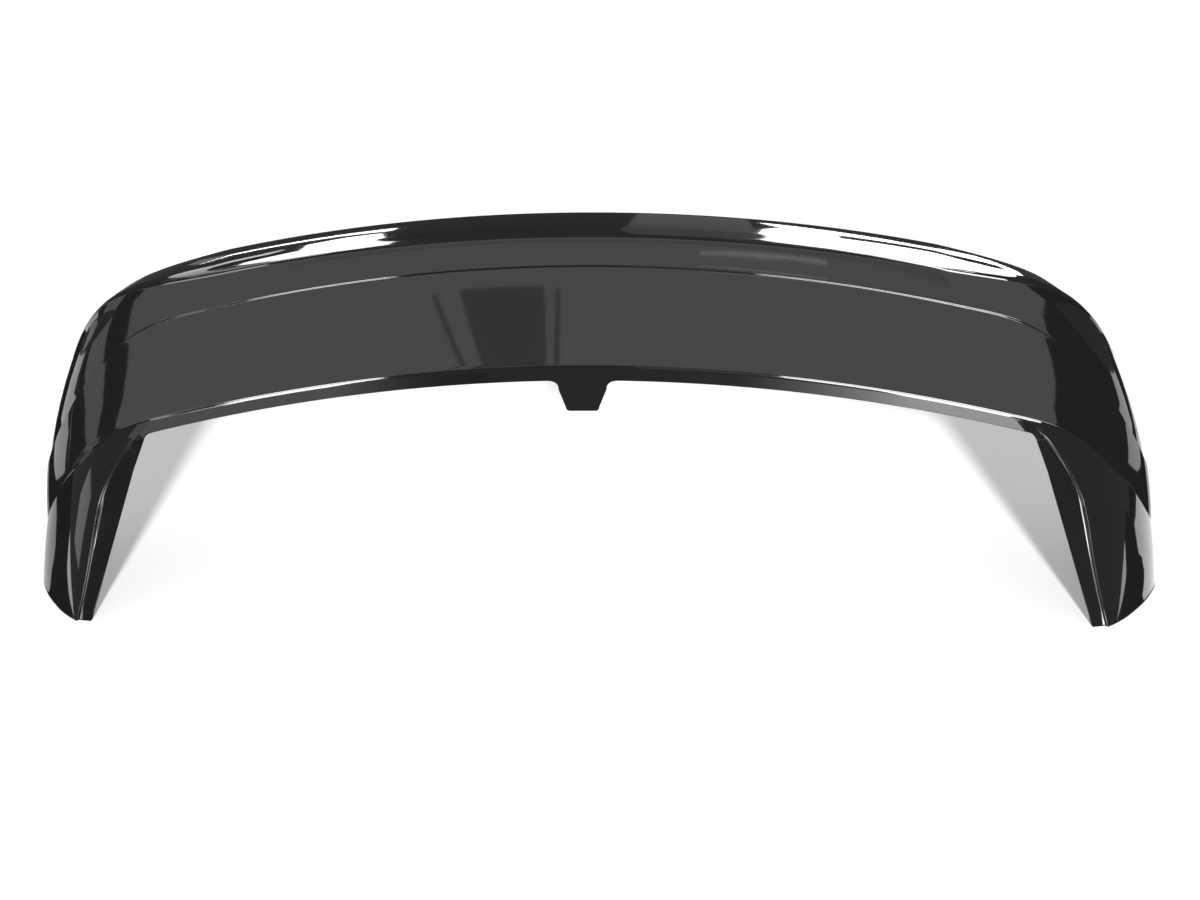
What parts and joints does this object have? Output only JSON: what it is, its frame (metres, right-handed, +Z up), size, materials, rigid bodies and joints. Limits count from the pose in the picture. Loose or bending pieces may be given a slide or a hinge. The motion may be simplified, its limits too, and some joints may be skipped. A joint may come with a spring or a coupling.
{
  "type": "car rear spoiler",
  "caption": "Gloss black car rear spoiler that frames the top and sides of a rear window, with a rolled top lip, two legs and a small middle tab.",
  "frame": {"origin": "under the middle of the part's box, on the plane of the two leg ends", "axes": "+X to the right as seen from behind the car, +Y forward over the car, +Z up"},
  "size_m": [1.234, 0.192, 0.4191],
  "materials": {
    "gloss_black": "gloss"
  },
  "bodies": {
    "root": {"spoiler_shell": "gloss_black"}
  },
  "joints": []
}
